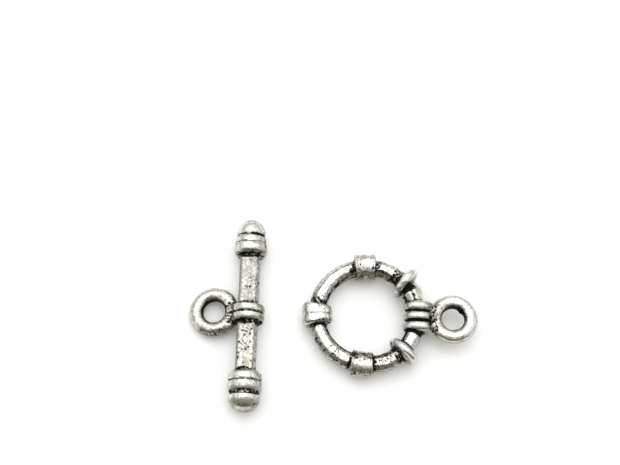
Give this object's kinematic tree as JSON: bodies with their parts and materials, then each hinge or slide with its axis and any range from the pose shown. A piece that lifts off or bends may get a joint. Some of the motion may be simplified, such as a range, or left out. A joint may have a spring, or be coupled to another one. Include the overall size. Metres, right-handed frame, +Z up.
{
  "type": "toggle clasp",
  "caption": "Two-part jewellery toggle clasp: a roped ring with an eye and a turned bar with an eye, lying open side by side.",
  "frame": {"origin": "middle of the footprint of both castings, on the table that they lie on", "axes": "+X from the bar to the ring's eye, +Y along the bar to its tapered end, +Z up"},
  "size_m": [0.0348, 0.0238, 0.0042],
  "materials": {
    "antique_silver": "silver-plated zinc casting, antiqued: bright worn high places, grey-olive flanks and black in the recesses"
  },
  "bodies": {
    "root": {"toggle_ring": "antique_silver", "toggle_bar": "antique_silver"}
  },
  "joints": []
}
